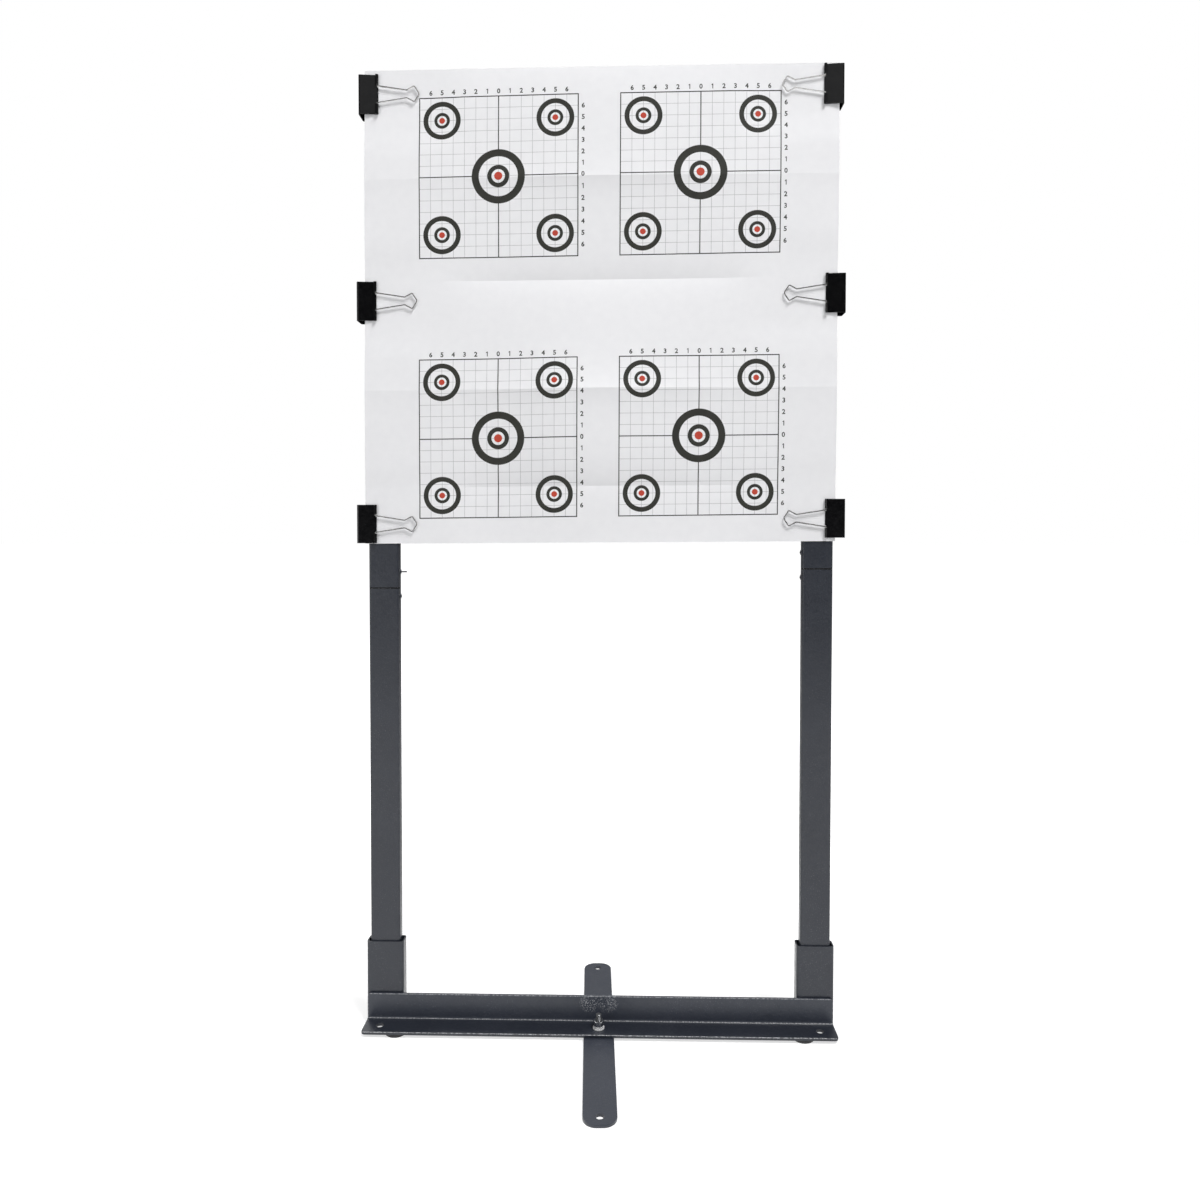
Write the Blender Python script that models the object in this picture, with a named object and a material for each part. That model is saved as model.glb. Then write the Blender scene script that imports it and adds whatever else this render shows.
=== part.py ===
"""Knock-down steel target stand with a paper sheet held by six binder clips.

Metres, +Z up. X runs along the crossbar and the sheet faces -Y. The origin is on
the floor, on the axis of the bolt that the foot bar turns on.
"""

from math import atan2, cos, hypot, pi, radians, sin, tan

import bmesh
import bpy
from mathutils import Matrix, Vector

# Air between two solids that touch on the real stand
GAP = 0.0003

# Paper sheet, once folded, so that it stands a little off the flat between the posts
SHEET_WIDTH = 0.500
SHEET_HEIGHT = 0.500
SHEET_THICKNESS = 0.0004
FOLD_SHARES = (0.12, 0.325, 0.557, 0.77)
FOLD_DEPTH = 0.003
FOLD_SHARPNESS = 0.5
SHEET_COLUMNS = 12
SHEET_ROWS_PER_FOLD = 4

# Posts: flat oblong tubes in two lengths, butted over a connector
POST_WIDTH = 0.032
POST_DEPTH = 0.012
POST_WALL = 0.0012
POST_CORNER_RADIUS = 0.002
POST_TOP = 1.015
LEFT_SEAM_HEIGHT = 0.471
RIGHT_SEAM_HEIGHT = 0.4925
CONNECTOR_LENGTH = 0.100
CONNECTOR_WALL = 0.0015

# How far the sheet and the crossbar reach past the posts
SHEET_OVERHANG = 0.0025
SHEET_RISE = 0.0055
CROSSBAR_OVERHANG = 0.0025

# Crossbar: a steel angle, one flange on the floor side and one upright behind it
FLANGE_WIDTH = 0.030
FLANGE_THICKNESS = 0.003
FLANGE_ROOT_RADIUS = 0.0025
FLANGE_CORNER_RADIUS = 0.004
STAKE_HOLE_RADIUS = 0.004
CROSSBAR_HOLE_INSET = 0.017

# Foot bar: a flat bar that turns under the crossbar
FOOT_LENGTH = 0.300
FOOT_WIDTH = 0.032
FOOT_THICKNESS = 0.003
FOOT_END_RADIUS = 0.013
FOOT_HOLE_INSET = 0.012
FOOT_TURN = radians(1.9)
BAR_EDGE_RADIUS = 0.0004

# Round rubber pads that level the crossbar's ends with the foot bar
PAD_RADIUS = 0.012
PAD_EDGE = 0.0008
PAD_INSET = 0.035

# Pivot bolt with its nut and washers
BOLT_RADIUS = 0.003
BOLT_HEAD_RADIUS = 0.006
BOLT_HEAD_RISE = 0.0002
BOLT_TOP = 0.0217
BOLT_TIP_CHAMFER = 0.0007
HEX_SOCKET_ACROSS = 0.004
HEX_SOCKET_DEPTH = 0.0016
WASHER_RADIUS = 0.00625
WASHER_THICKNESS = 0.0012
SPRING_WASHER_RADIUS = 0.0054
SPRING_WASHER_THICKNESS = 0.0016
SPRING_WASHER_SPLIT = radians(16)
SPRING_WASHER_LIFT = 0.0004
NUT_ACROSS = 0.010
NUT_HEIGHT = 0.005
NUT_CHAMFER = radians(30)
NUT_FACE_SHARE = 0.98

# Sockets welded behind the crossbar, with a plate under each
SOCKET_SIDE_ROOM = 0.0025
SOCKET_FACE_ROOM = 0.0005
SOCKET_WALL = 0.0015
SOCKET_CORNER_RADIUS = 0.003
SOCKET_TOP = 0.0885
SOCKET_PLATE_THICKNESS = 0.002

# Blind rivets that fix the connectors, on the posts' inner narrow sides
RIVET_RADIUS = 0.0016
RIVET_HEAD_RADIUS = 0.0033
RIVET_HEAD_HEIGHT = 0.0014
RIVET_TAIL_RADIUS = 0.0022
RIVET_TAIL_LENGTH = 0.0025
RIVET_TAIL_TAPER = 0.7
RIVET_ABOVE_SEAM = 0.0175
RIVET_BELOW_SEAM = 0.009
MANDREL_RADIUS = 0.0007
MANDREL_STUB = 0.0058

# Binder clips: a folded spring-steel shell with rolled jaw edges and two wire handles
CLIP_LENGTH = 0.041
CLIP_DEPTH = 0.0214
CLIP_SPINE_WIDTH = 0.019
CLIP_STEEL = 0.0006
CLIP_BEND_RADIUS = 0.0014
CLIP_ROLL_ANGLE = radians(300)
CLIP_LIP_WIDTH = 0.0150
CLIP_LIP_SETBACK = 0.0006
WIRE_RADIUS = 0.0008
WIRE_ROOM = 0.0003
HANDLE_LEG_SPACING = 0.0179
HANDLE_NECK_REACH = 0.0317
HANDLE_NECK_SPACING = 0.0080
HANDLE_HEAD_REACH = 0.0397
HANDLE_HEAD_WIDTH = 0.0165
HANDLE_NOSE_REACH = 0.0452
HANDLE_NOSE_RADIUS = 0.003
HANDLE_BEND_RADIUS = 0.0012
HANDLE_END_ROOM = 0.002

# Where the clips sit: each row's share of the sheet's height, how far its spines stand
# out past the posts, and how much higher its right-hand clip is than its left-hand one
BOTTOM_CLIPS_SHARE = 0.0451
MIDDLE_CLIPS_SHARE = 0.5183
TOP_CLIPS_SHARE = 0.9523
BOTTOM_CLIPS_OUT = 0.0118
MIDDLE_CLIPS_OUT = 0.0109
TOP_CLIPS_OUT = 0.0078
CLIP_ROW_SLANT = 0.0065

# Places that follow from the sizes above
POST_SPACING = SHEET_WIDTH - 2 * SHEET_OVERHANG - POST_WIDTH
POST_INNER_EDGE = (POST_SPACING - POST_WIDTH) / 2
POST_OUTER_EDGE = (POST_SPACING + POST_WIDTH) / 2
CROSSBAR_LENGTH = 2 * (POST_OUTER_EDGE + CROSSBAR_OVERHANG)
PAD_SPACING = CROSSBAR_LENGTH - 2 * PAD_INSET
SHEET_BOTTOM = POST_TOP + SHEET_RISE - SHEET_HEIGHT
FOLD_HEIGHTS = [share * SHEET_HEIGHT for share in FOLD_SHARES]
CROSSBAR_BOTTOM = FOOT_THICKNESS + GAP
FLANGE_TOP = CROSSBAR_BOTTOM + FLANGE_THICKNESS
FLANGE_FLAT = FLANGE_WIDTH - FLANGE_THICKNESS
CROSSBAR_FRONT = -FLANGE_FLAT / 2
UPRIGHT_FRONT = FLANGE_FLAT / 2
UPRIGHT_BACK = UPRIGHT_FRONT + FLANGE_THICKNESS
SOCKET_WIDTH = POST_WIDTH + 2 * (SOCKET_SIDE_ROOM + SOCKET_WALL)
SOCKET_DEPTH = POST_DEPTH + 2 * (SOCKET_FACE_ROOM + SOCKET_WALL)
SOCKET_BOTTOM = CROSSBAR_BOTTOM + SOCKET_PLATE_THICKNESS + GAP
POST_Y = UPRIGHT_BACK + GAP + SOCKET_DEPTH / 2
POST_BOTTOM = SOCKET_BOTTOM
POST_FRONT = POST_Y - POST_DEPTH / 2
CONNECTOR_WIDTH = POST_WIDTH - 2 * (POST_WALL + GAP)
CONNECTOR_DEPTH = POST_DEPTH - 2 * (POST_WALL + GAP)
RIVET_HOLE_RADIUS = RIVET_RADIUS + GAP
SHEET_Y = POST_FRONT - GAP - SHEET_THICKNESS / 2
CLIP_GRIP = POST_DEPTH + SHEET_THICKNESS + 3 * GAP
CLIP_Y = POST_Y + POST_DEPTH / 2 + GAP - CLIP_GRIP / 2
ROLL_RADIUS = WIRE_RADIUS + WIRE_ROOM + CLIP_STEEL / 2
ROLL_OUTER_RADIUS = ROLL_RADIUS + CLIP_STEEL / 2
HINGE_REACH = CLIP_DEPTH - ROLL_OUTER_RADIUS
HINGE_OFFSET = CLIP_GRIP / 2 + ROLL_OUTER_RADIUS
HANDLE_NOTCH = 2 * WIRE_RADIUS + 3 * WIRE_ROOM
CLIP_ROWS = {
    "bottom": (BOTTOM_CLIPS_SHARE, BOTTOM_CLIPS_OUT),
    "middle": (MIDDLE_CLIPS_SHARE, MIDDLE_CLIPS_OUT),
    "top": (TOP_CLIPS_SHARE, TOP_CLIPS_OUT),
}

# How finely each kind of curve is divided
ROUND_STEPS = 32
BORE_STEPS = 24
RIVET_STEPS = 16
NUT_CONE_STEPS = 48
CORNER_STEPS = 4
FOOT_END_STEPS = 8
ROLL_STEPS = 12
WIRE_BEND_STEPS = 3
SMOOTH_BELOW = radians(35)


# Shapes


def rounded(points, radii, steps=CORNER_STEPS, closed=True):
    """The polyline with an arc of each given radius at each corner."""
    result = []
    last = len(points) - 1
    for index, radius in enumerate(radii):
        corner = Vector(points[index])
        if radius == 0 or (not closed and index in (0, last)):
            result.append(corner)
            continue
        back = (Vector(points[index - 1]) - corner).normalized()
        ahead = (Vector(points[(index + 1) % len(points)]) - corner).normalized()
        half = back.angle(ahead) / 2
        centre = corner + (back + ahead).normalized() * radius / sin(half)
        first = corner + back * radius / tan(half) - centre
        final = corner + ahead * radius / tan(half) - centre
        start = atan2(first.y, first.x)
        sweep = (atan2(final.y, final.x) - start + pi) % (2 * pi) - pi
        for step in range(steps + 1):
            angle = start + sweep * step / steps
            result.append(centre + radius * Vector((cos(angle), sin(angle))))
    return result


def rectangle(width, depth, radius, steps=CORNER_STEPS):
    """A rounded rectangle round the origin."""
    x, y = width / 2, depth / 2
    return rounded([(-x, -y), (x, -y), (x, y), (-x, y)], [radius] * 4, steps)


def circle(radius, steps=ROUND_STEPS):
    angles = [2 * pi * step / steps for step in range(steps)]
    return [Vector((radius * cos(a), radius * sin(a))) for a in angles]


def hexagon(across):
    return circle(across / 2 / cos(radians(30)), 6)


def face_outward(bm):
    """Turns every face of a closed shape to the outside."""
    bmesh.ops.recalc_face_normals(bm, faces=bm.faces)
    if bm.calc_volume(signed=True) < 0:
        bmesh.ops.reverse_faces(bm, faces=bm.faces)


def prism(outline, low, high, hole=None):
    """The outline run up Z from low to high; a hole has as many points as its outline."""
    bm = bmesh.new()
    rings = []
    for loop in [outline] + ([hole] if hole else []):
        for z in (low, high):
            rings.append([bm.verts.new((p[0], p[1], z)) for p in loop])
    count = len(outline)
    if hole:
        pairs = [(rings[0], rings[1]), (rings[1], rings[3]), (rings[3], rings[2]), (rings[2], rings[0])]
    else:
        pairs = [(rings[0], rings[1])]
        bm.faces.new(rings[0])
        bm.faces.new(rings[1])
    for first, second in pairs:
        for i in range(count):
            j = (i + 1) % count
            bm.faces.new((first[i], first[j], second[j], second[i]))
    face_outward(bm)
    return bm


def turned(profile, closed=False, steps=ROUND_STEPS):
    """A profile of (radius, height) points turned round Z."""
    bm = bmesh.new()
    verts = [bm.verts.new((r, 0, z)) for r, z in profile]
    edges = [bm.edges.new(pair) for pair in zip(verts, verts[1:])]
    if closed:
        edges.append(bm.edges.new((verts[-1], verts[0])))
    bmesh.ops.spin(bm, geom=verts + edges, axis=(0, 0, 1), angle=2 * pi, steps=steps, use_merge=True)
    bmesh.ops.remove_doubles(bm, verts=bm.verts, dist=1e-7)
    face_outward(bm)
    return bm


# Objects


def clear_scene():
    for obj in list(bpy.data.objects):
        bpy.data.objects.remove(obj, do_unlink=True)


def material(name, colour, roughness, metallic):
    made = bpy.data.materials.new(name)
    made.use_nodes = True
    shader = made.node_tree.nodes["Principled BSDF"]
    shader.inputs["Base Color"].default_value = (*colour, 1)
    shader.inputs["Roughness"].default_value = roughness
    shader.inputs["Metallic"].default_value = metallic
    return made


def add(name, data, surface=None, parent=None, place=(0, 0, 0)):
    """An object in the scene, placed in its parent's frame."""
    obj = bpy.data.objects.new(name, data)
    if surface:
        data.materials.append(surface)
    obj.parent = parent
    obj.location = place
    bpy.context.scene.collection.objects.link(obj)
    return obj


def mesh_of(name, bm):
    mesh = bpy.data.meshes.new(name)
    bm.to_mesh(mesh)
    bm.free()
    mesh.shade_smooth()
    mesh.set_sharp_from_angle(angle=SMOOTH_BELOW)
    return mesh


def soften(obj, radius):
    """Rounds the object's sharp edges; called before anything is carved out of it."""
    bevel = obj.modifiers.new("soft_edges", "BEVEL")
    bevel.width = radius
    bevel.segments = 2
    bevel.limit_method = "ANGLE"
    bevel.angle_limit = SMOOTH_BELOW


def carve(obj, bm, operation="DIFFERENCE"):
    """Cuts a shape, given in the object's own frame, out of the object."""
    count = sum(modifier.type == "BOOLEAN" for modifier in obj.modifiers)
    name = f"{obj.name}_cutter_{count + 1}"
    cutter = add(name, mesh_of(name, bm), parent=obj)
    cutter.hide_render = True
    cutter.display_type = "WIRE"
    modifier = obj.modifiers.new(name, "BOOLEAN")
    modifier.operation = operation
    modifier.object = cutter


def even_shading():
    """Lets the large faces set the shading where cuts and thickness added small ones."""
    for obj in bpy.data.objects:
        if obj.modifiers:
            normals = obj.modifiers.new("even_shading", "WEIGHTED_NORMAL")
            normals.keep_sharp = True


def moved(bm, place):
    bmesh.ops.translate(bm, verts=bm.verts, vec=place)
    return bm


def lengthwise(bm):
    """Turns a prism so that it runs along X, its outline's first axis along Y."""
    bmesh.ops.transform(bm, verts=bm.verts, matrix=Matrix(((0, 0, 1), (1, 0, 0), (0, 1, 0))).to_4x4())
    return bm


# Base


def crossbar(paint):
    """The angle: an L outline run along X, with its four outer corners rounded off."""
    half = CROSSBAR_LENGTH / 2
    top = CROSSBAR_BOTTOM + FLANGE_WIDTH
    outline = [
        (CROSSBAR_FRONT, CROSSBAR_BOTTOM),
        (UPRIGHT_BACK, CROSSBAR_BOTTOM),
        (UPRIGHT_BACK, top),
        (UPRIGHT_FRONT, top),
        (UPRIGHT_FRONT, FLANGE_TOP),
        (CROSSBAR_FRONT, FLANGE_TOP),
    ]
    radii = [0, FLANGE_THICKNESS / 3, 0, 0, FLANGE_ROOT_RADIUS, 0]
    bm = lengthwise(prism(rounded(outline, radii), -half, half))
    corners = []
    for edge in bm.edges:
        a, b = edge.verts[0].co, edge.verts[1].co
        at_end = abs(abs(a.x) - half) < GAP and abs(a.x - b.x) < GAP
        on_front_toe = max(a.y, b.y) < CROSSBAR_FRONT + GAP
        on_top_toe = min(a.z, b.z) > top - GAP
        if at_end and (on_front_toe or on_top_toe):
            corners.append(edge)
    bmesh.ops.bevel(
        bm, geom=corners, offset=FLANGE_CORNER_RADIUS, segments=CORNER_STEPS, profile=0.5, affect="EDGES"
    )
    bar = add("angle_crossbar", mesh_of("angle_crossbar", bm), paint)
    soften(bar, BAR_EDGE_RADIUS)
    hole_low, hole_high = CROSSBAR_BOTTOM - FLANGE_THICKNESS, FLANGE_TOP + FLANGE_THICKNESS
    for side in (-1, 1):
        x = side * (half - CROSSBAR_HOLE_INSET)
        carve(bar, moved(prism(circle(STAKE_HOLE_RADIUS, BORE_STEPS), hole_low, hole_high), (x, 0, 0)))
    carve(bar, prism(circle(BOLT_RADIUS + GAP, BORE_STEPS), hole_low, hole_high))


def countersink_radii(room):
    """Radii of the 90 degree cone's wide end and of the shank, with room square to the faces."""
    return BOLT_HEAD_RADIUS + room / cos(radians(45)), BOLT_RADIUS + room


def foot_bar(paint):
    """A flat bar with rounded ends, two stake holes and a countersink under its middle.

    It rests turned a little on its bolt, as the photograph shows it.
    """
    outline = rectangle(FOOT_WIDTH, FOOT_LENGTH, FOOT_END_RADIUS, FOOT_END_STEPS)
    foot = add("foot_bar", mesh_of("foot_bar", prism(outline, 0, FOOT_THICKNESS)), paint)
    foot.rotation_euler = (0, 0, FOOT_TURN)
    soften(foot, BAR_EDGE_RADIUS)
    for side in (-1, 1):
        y = side * (FOOT_LENGTH / 2 - FOOT_HOLE_INSET)
        hole = prism(circle(STAKE_HOLE_RADIUS, BORE_STEPS), -FOOT_THICKNESS, 2 * FOOT_THICKNESS)
        carve(foot, moved(hole, (0, y, 0)))
    head, shank = countersink_radii(GAP)
    slope_end = BOLT_HEAD_RISE + BOLT_HEAD_RADIUS - BOLT_RADIUS
    countersink = [
        (0, -FOOT_THICKNESS),
        (head, -FOOT_THICKNESS),
        (head, BOLT_HEAD_RISE),
        (shank, slope_end),
        (shank, 2 * FOOT_THICKNESS),
        (0, 2 * FOOT_THICKNESS),
    ]
    carve(foot, turned(countersink))


def pivot_bolt(zinc):
    """A countersunk screw, pointing up, with a hex socket in its head."""
    slope_end = BOLT_HEAD_RISE + BOLT_HEAD_RADIUS - BOLT_RADIUS
    profile = [
        (0, BOLT_HEAD_RISE),
        (BOLT_HEAD_RADIUS, BOLT_HEAD_RISE),
        (BOLT_RADIUS, slope_end),
        (BOLT_RADIUS, BOLT_TOP - BOLT_TIP_CHAMFER),
        (BOLT_RADIUS - BOLT_TIP_CHAMFER, BOLT_TOP),
        (0, BOLT_TOP),
    ]
    bolt = add("pivot_bolt", mesh_of("pivot_bolt", turned(profile, steps=BORE_STEPS)), zinc)
    socket = prism(hexagon(HEX_SOCKET_ACROSS), -HEX_SOCKET_DEPTH, BOLT_HEAD_RISE + HEX_SOCKET_DEPTH)
    carve(bolt, socket)


def flat_washer(low, zinc):
    inner, outer = BOLT_RADIUS + GAP, WASHER_RADIUS
    high = low + WASHER_THICKNESS
    section = [(inner, low), (outer, low), (outer, high), (inner, high)]
    washer = turned(section, closed=True, steps=BORE_STEPS)
    add("flat_washer", mesh_of("flat_washer", washer), zinc)


def spring_washer(low, zinc):
    """A split ring whose two ends stand a little apart in height."""
    inner, outer = BOLT_RADIUS + GAP, SPRING_WASHER_RADIUS
    bm = bmesh.new()
    sections = []
    for step in range(ROUND_STEPS + 1):
        share = step / ROUND_STEPS
        angle = SPRING_WASHER_SPLIT / 2 + share * (2 * pi - SPRING_WASHER_SPLIT)
        bottom = low + share * SPRING_WASHER_LIFT
        top = bottom + SPRING_WASHER_THICKNESS - SPRING_WASHER_LIFT
        corners = [(inner, bottom), (outer, bottom), (outer, top), (inner, top)]
        sections.append([bm.verts.new((r * cos(angle), r * sin(angle), z)) for r, z in corners])
    for first, second in zip(sections, sections[1:]):
        for i in range(4):
            j = (i + 1) % 4
            bm.faces.new((first[i], first[j], second[j], second[i]))
    bm.faces.new(sections[0])
    bm.faces.new(sections[-1])
    face_outward(bm)
    add("spring_washer", mesh_of("spring_washer", bm), zinc)


def hex_nut(low, zinc):
    """A hexagon with both its ends chamfered by a cone, bored for the bolt."""
    high = low + NUT_HEIGHT
    bm = prism(hexagon(NUT_ACROSS), low, high)
    nut = add("hex_nut", mesh_of("hex_nut", bm), zinc)
    # The cones meet the nut's faces just inside its flats and run on past both ends,
    # out to just beyond the hexagon's corners
    past = NUT_HEIGHT / 5
    slope = tan(NUT_CHAMFER)
    face = NUT_FACE_SHARE * NUT_ACROSS / 2
    outer = NUT_ACROSS / 2 / cos(radians(30)) + GAP
    rise = (outer - face) * slope
    narrow = face - past / slope
    skirt = [(0, low - past), (narrow, low - past), (outer, low + rise)]
    skirt += [(outer, high - rise), (narrow, high + past), (0, high + past)]
    carve(nut, turned(skirt, steps=NUT_CONE_STEPS), "INTERSECT")
    carve(nut, prism(circle(BOLT_RADIUS + GAP, BORE_STEPS), low - NUT_HEIGHT, high + NUT_HEIGHT))


def pivot_fasteners(zinc):
    """The bolt and what is stacked on the crossbar round it."""
    pivot_bolt(zinc)
    washer_low = FLANGE_TOP + GAP
    flat_washer(washer_low, zinc)
    spring_low = washer_low + WASHER_THICKNESS + GAP
    spring_washer(spring_low, zinc)
    hex_nut(spring_low + SPRING_WASHER_THICKNESS + GAP, zinc)


def rubber_pad(side_name, side, rubber):
    top = CROSSBAR_BOTTOM - GAP
    rim = PAD_RADIUS - PAD_EDGE
    profile = [(0, 0), (rim, 0), (PAD_RADIUS, PAD_EDGE), (PAD_RADIUS, top), (0, top)]
    name = f"{side_name}_rubber_pad"
    y = CROSSBAR_FRONT + PAD_RADIUS
    add(name, mesh_of(name, turned(profile)), rubber, place=(side * PAD_SPACING / 2, y, 0))


def socket(side_name, side, paint):
    """A short oblong tube, open above, standing on its own welded plate."""
    place = (side * POST_SPACING / 2, POST_Y, 0)
    outer = rectangle(SOCKET_WIDTH, SOCKET_DEPTH, SOCKET_CORNER_RADIUS)
    inner = rectangle(
        SOCKET_WIDTH - 2 * SOCKET_WALL, SOCKET_DEPTH - 2 * SOCKET_WALL, SOCKET_CORNER_RADIUS - SOCKET_WALL
    )
    name = f"{side_name}_socket"
    add(name, mesh_of(name, prism(outer, SOCKET_BOTTOM, SOCKET_TOP, inner)), paint, place=place)
    plate = prism(outer, CROSSBAR_BOTTOM, CROSSBAR_BOTTOM + SOCKET_PLATE_THICKNESS)
    name = f"{side_name}_socket_plate"
    add(name, mesh_of(name, plate), paint, place=place)


# Posts


def post_tube(name, low, high, paint, parent):
    outer = rectangle(POST_WIDTH, POST_DEPTH, POST_CORNER_RADIUS)
    inner = rectangle(
        POST_WIDTH - 2 * POST_WALL, POST_DEPTH - 2 * POST_WALL, POST_CORNER_RADIUS - POST_WALL
    )
    bm = prism(outer, low - POST_BOTTOM, high - POST_BOTTOM, inner)
    return add(name, mesh_of(name, bm), paint, parent)


def rivet_hole(side, height):
    """A cutter through the post's inner narrow side, in the post's frame."""
    hole = circle(RIVET_HOLE_RADIUS, RIVET_STEPS)
    bm = lengthwise(prism(hole, -2 * CONNECTOR_WALL, 2 * CONNECTOR_WALL))
    return moved(bm, (-side * (POST_WIDTH / 2 - CONNECTOR_WALL), 0, height - POST_BOTTOM))


def rivet(name, side, height, stub, zinc, parent):
    """A blind rivet: domed head, shank and set tail, with its pulled mandrel in the middle."""
    grip = POST_WALL + GAP + CONNECTOR_WALL + GAP
    dome = []
    for step in range(1, CORNER_STEPS + 1):
        angle = radians(90) * step / CORNER_STEPS
        radius = max(RIVET_HEAD_RADIUS * cos(angle), MANDREL_RADIUS)
        dome.append((radius, GAP + RIVET_HEAD_HEIGHT * sin(angle)))
    end = dome[-1][1] + stub
    profile = [
        (0, -grip - RIVET_TAIL_LENGTH),
        (RIVET_TAIL_RADIUS * RIVET_TAIL_TAPER, -grip - RIVET_TAIL_LENGTH),
        (RIVET_TAIL_RADIUS, -grip - RIVET_TAIL_LENGTH / 2),
        (RIVET_TAIL_RADIUS, -grip),
        (RIVET_RADIUS, -grip),
        (RIVET_RADIUS, GAP),
        (RIVET_HEAD_RADIUS, GAP),
        *dome,
        (MANDREL_RADIUS, end),
        (0, end),
    ]
    made = add(name, mesh_of(name, turned(profile, steps=RIVET_STEPS)), zinc, parent)
    made.location = (-side * POST_WIDTH / 2, 0, height - POST_BOTTOM)
    made.rotation_euler = (0, -side * radians(90), 0)


def post(side_name, side, seam, stub, paint, zinc):
    """One post: two tubes, the connector inside them and its two rivets."""
    place = (side * POST_SPACING / 2, POST_Y, POST_BOTTOM)
    carrier = add(f"{side_name}_post_frame", None, place=place)
    heights = {"lower": seam - RIVET_BELOW_SEAM, "upper": seam + RIVET_ABOVE_SEAM}
    lower = post_tube(f"{side_name}_lower_post", POST_BOTTOM, seam - GAP / 2, paint, carrier)
    upper = post_tube(f"{side_name}_upper_post", seam + GAP / 2, POST_TOP, paint, carrier)
    outer = rectangle(CONNECTOR_WIDTH, CONNECTOR_DEPTH, CONNECTOR_WALL)
    inner = rectangle(
        CONNECTOR_WIDTH - 2 * CONNECTOR_WALL, CONNECTOR_DEPTH - 2 * CONNECTOR_WALL, CONNECTOR_WALL / 3
    )
    low = seam - POST_BOTTOM - CONNECTOR_LENGTH / 2
    name = f"{side_name}_connector"
    bm = prism(outer, low, low + CONNECTOR_LENGTH, inner)
    connector = add(name, mesh_of(name, bm), zinc, carrier)
    for level, tube in (("lower", lower), ("upper", upper)):
        carve(tube, rivet_hole(side, heights[level]))
        carve(connector, rivet_hole(side, heights[level]))
        length = stub if level == "upper" else GAP
        rivet(f"{side_name}_{level}_rivet", side, heights[level], length, zinc, carrier)
    return carrier


# Sheet


def fold_profile(height):
    """From -1 at a fold that points back to 1 at one that points forward, 0 at the sheet's ends."""
    heights = (0, *FOLD_HEIGHTS, SHEET_HEIGHT)
    values = (0, *((-1) ** (i + 1) for i in range(len(FOLD_HEIGHTS))), 0)
    for i in range(len(heights) - 1):
        if height <= heights[i + 1]:
            share = (height - heights[i]) / (heights[i + 1] - heights[i])
            eased = share + FOLD_SHARPNESS * sin(2 * pi * share) / (2 * pi)
            return values[i] + (values[i + 1] - values[i]) * eased
    return 0


def sheet_stand_off(x, height):
    """How far the paper stands in front of the posts' plane at this point."""
    across = min(abs(x) / POST_INNER_EDGE, 1)
    return FOLD_DEPTH * fold_profile(height) * (1 - across**2) ** 1.5


def target_sheet(paper, carrier):
    """The sheet as a middle surface with its thickness laid on by Solidify."""
    xs = [POST_INNER_EDGE * (2 * i / SHEET_COLUMNS - 1) for i in range(SHEET_COLUMNS + 1)]
    xs = [-SHEET_WIDTH / 2, *xs, SHEET_WIDTH / 2]
    stops = (0, *FOLD_HEIGHTS, SHEET_HEIGHT)
    heights = [0]
    for low, high in zip(stops, stops[1:]):
        for row in range(1, SHEET_ROWS_PER_FOLD + 1):
            heights.append(low + (high - low) * row / SHEET_ROWS_PER_FOLD)
    bm = bmesh.new()
    rows = [[bm.verts.new((x, -sheet_stand_off(x, h), h)) for x in xs] for h in heights]
    for low, high in zip(rows, rows[1:]):
        for i in range(len(xs) - 1):
            bm.faces.new((low[i], low[i + 1], high[i + 1], high[i]))
    sheet = add("target_sheet", mesh_of("target_sheet", bm), paper, carrier)
    sheet.location = Vector((0, SHEET_Y, SHEET_BOTTOM)) - carrier.location
    thicken(sheet, SHEET_THICKNESS)


def thicken(obj, thickness):
    solidify = obj.modifiers.new("thickness", "SOLIDIFY")
    solidify.thickness = thickness
    solidify.offset = 0
    solidify.use_even_offset = True


# Binder clips


def clip_wall():
    """Half of the shell's middle line, from the spine's centre to where the roll starts."""
    spine = CLIP_STEEL / 2
    corner = Vector((spine, CLIP_SPINE_WIDTH / 2 - CLIP_STEEL / 2))
    hinge = Vector((HINGE_REACH, HINGE_OFFSET))
    # The wall is the line from the corner that touches the roll's circle from inside
    reach = hinge - corner
    slope = atan2(reach.y, reach.x) - atan2(ROLL_RADIUS, hypot(*reach))
    length = (reach.length_squared - ROLL_RADIUS**2) ** 0.5
    touch = corner + length * Vector((cos(slope), sin(slope)))
    line = rounded([(spine, 0), corner, touch], [0, CLIP_BEND_RADIUS, 0], closed=False)
    return line, slope


def clip_roll(slope):
    """The rolled edge's middle line: an arc round the hinge axis, turning outwards."""
    hinge = Vector((HINGE_REACH, HINGE_OFFSET))
    points = []
    for step in range(1, ROLL_STEPS + 1):
        angle = slope - pi / 2 + CLIP_ROLL_ANGLE * step / ROLL_STEPS
        points.append(hinge + ROLL_RADIUS * Vector((cos(angle), sin(angle))))
    return points


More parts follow.
